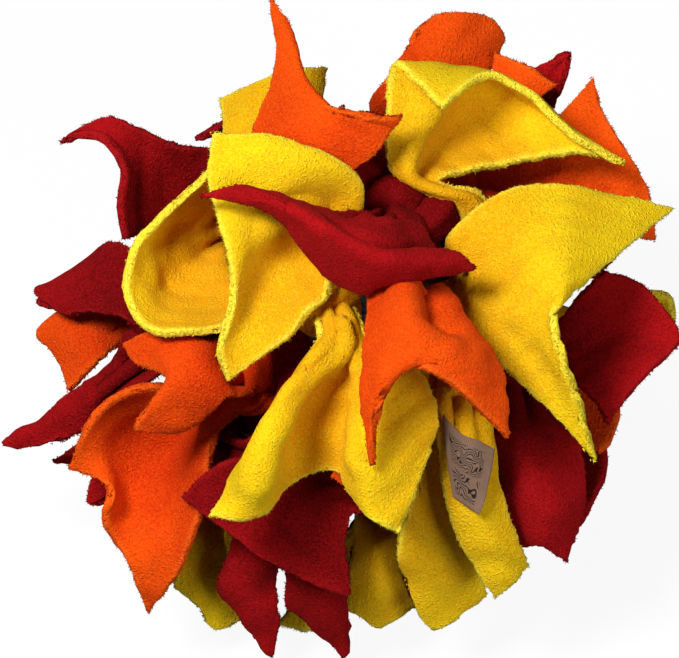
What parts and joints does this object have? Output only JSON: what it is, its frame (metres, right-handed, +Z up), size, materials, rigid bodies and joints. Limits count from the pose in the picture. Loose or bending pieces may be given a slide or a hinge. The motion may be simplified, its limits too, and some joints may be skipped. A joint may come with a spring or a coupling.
{
  "type": "snuffle ball",
  "caption": "Snuffle ball: fleece strips looped and knotted round a hollow rubber lattice ball, their broad tails standing out on all sides, with a ribbon label.",
  "frame": {"origin": "on the floor under the middle of the whole toy", "axes": "+Z up, +X to the right and +Y away from the side that the picture shows, which is seen from 50 degrees above level"},
  "size_m": [0.2194, 0.2066, 0.1799],
  "materials": {
    "red_fleece": "soft brushed fleece, deep red",
    "orange_fleece": "soft brushed fleece, orange",
    "yellow_fleece": "soft brushed fleece, yellow",
    "tan_ribbon": "woven tan ribbon",
    "black_rubber": "matt black rubber"
  },
  "bodies": {
    "toy": {"lattice_ball": "black_rubber", "ribbon_label": "tan_ribbon", "strip_orange_aa": "orange_fleece", "strip_orange_b": "orange_fleece", "strip_orange_c": "orange_fleece", "strip_orange_f": "orange_fleece", "strip_orange_l": "orange_fleece", "strip_orange_q": "orange_fleece", "strip_orange_r": "orange_fleece", "strip_orange_t": "orange_fleece", "strip_orange_x": "orange_fleece", "strip_red_bb": "red_fleece", "strip_red_d": "red_fleece", "strip_red_h": "red_fleece", "strip_red_i": "red_fleece", "strip_red_j": "red_fleece", "strip_red_m": "red_fleece", "strip_red_n": "red_fleece", "strip_red_o": "red_fleece", "strip_red_u": "red_fleece", "strip_red_w": "red_fleece", "strip_red_z": "red_fleece", "strip_yellow_a": "yellow_fleece", "strip_yellow_cc": "yellow_fleece", "strip_yellow_dd": "yellow_fleece", "strip_yellow_e": "yellow_fleece", "strip_yellow_g": "yellow_fleece", "strip_yellow_k": "yellow_fleece", "strip_yellow_p": "yellow_fleece", "strip_yellow_s": "yellow_fleece", "strip_yellow_v": "yellow_fleece", "strip_yellow_y": "yellow_fleece"},
    "flap_red_d_front": {"tail_red_d_front": "red_fleece"},
    "flap_yellow_g_right": {"tail_yellow_g_right": "yellow_fleece"},
    "flap_orange_f_spike": {"tail_orange_f_spike": "orange_fleece"},
    "flap_red_i_spike": {"tail_red_i_spike": "red_fleece"},
    "flap_orange_r_top": {"tail_orange_r_top": "orange_fleece"},
    "flap_orange_b_front": {"tail_orange_b_front": "orange_fleece"},
    "flap_orange_q_left": {"tail_orange_q_left": "orange_fleece"},
    "flap_orange_t_right": {"tail_orange_t_right": "orange_fleece"},
    "flap_red_u_spike": {"tail_red_u_spike": "red_fleece"},
    "flap_yellow_v_right": {"tail_yellow_v_right": "yellow_fleece"},
    "flap_yellow_k_cup": {"tail_yellow_k_cup": "yellow_fleece"}
  },
  "joints": [
    {"name": "lift_red_d_front", "type": "hinge", "parent": "toy", "child": "flap_red_d_front", "pos_m": [0.01677, -0.01864, 0.14395], "axis": [-0.8797, 0.4587, 0.1255], "range_deg": [0, 25], "stiffness_Nm_per_rad": 0.1},
    {"name": "lift_yellow_g_right", "type": "hinge", "parent": "toy", "child": "flap_yellow_g_right", "pos_m": [0.04178, -0.02509, 0.12416], "axis": [0.2196, -0.7849, -0.5794], "range_deg": [0, 15], "stiffness_Nm_per_rad": 0.1},
    {"name": "lift_orange_f_spike", "type": "hinge", "parent": "toy", "child": "flap_orange_f_spike", "pos_m": [-0.0128, -0.00138, 0.14919], "axis": [0.9691, -0.2106, -0.1285], "range_deg": [-10, 12], "stiffness_Nm_per_rad": 0.1},
    {"name": "lift_red_i_spike", "type": "hinge", "parent": "toy", "child": "flap_red_i_spike", "pos_m": [-0.06496, -0.02825, 0.09116], "axis": [-0.5768, 0.6055, 0.5483], "range_deg": [0, 25], "stiffness_Nm_per_rad": 0.1},
    {"name": "lift_orange_r_top", "type": "hinge", "parent": "toy", "child": "flap_orange_r_top", "pos_m": [0.0201, 0.04668, 0.1211], "axis": [-0.9762, -0.0064, 0.2166], "range_deg": [0, 25], "stiffness_Nm_per_rad": 0.1},
    {"name": "lift_orange_b_front", "type": "hinge", "parent": "toy", "child": "flap_orange_b_front", "pos_m": [0.01357, -0.05194, 0.11745], "axis": [-0.8388, 0.3596, 0.4088], "range_deg": [0, 8], "stiffness_Nm_per_rad": 0.1},
    {"name": "lift_orange_q_left", "type": "hinge", "parent": "toy", "child": "flap_orange_q_left", "pos_m": [-0.06552, 0.00035, 0.08121], "axis": [0.6223, -0.6613, -0.4188], "range_deg": [0, 25], "stiffness_Nm_per_rad": 0.1},
    {"name": "lift_orange_t_right", "type": "hinge", "parent": "toy", "child": "flap_orange_t_right", "pos_m": [0.05623, -0.02348, 0.05352], "axis": [-0.0134, 0.9621, 0.2724], "range_deg": [0, 20], "stiffness_Nm_per_rad": 0.1},
    {"name": "lift_red_u_spike", "type": "hinge", "parent": "toy", "child": "flap_red_u_spike", "pos_m": [0.05291, 0.04252, 0.09458], "axis": [-0.821, 0.4157, 0.3914], "range_deg": [0, 25], "stiffness_Nm_per_rad": 0.1},
    {"name": "lift_yellow_v_right", "type": "hinge", "parent": "toy", "child": "flap_yellow_v_right", "pos_m": [0.07029, 0.00769, 0.0626], "axis": [0.0076, 0.7648, 0.6442], "range_deg": [-10, 25], "stiffness_Nm_per_rad": 0.1},
    {"name": "lift_yellow_k_cup", "type": "hinge", "parent": "toy", "child": "flap_yellow_k_cup", "pos_m": [-0.04007, -0.00232, 0.12269], "axis": [0.0457, -0.5916, -0.8049], "range_deg": [0, 25], "stiffness_Nm_per_rad": 0.1}
  ]
}
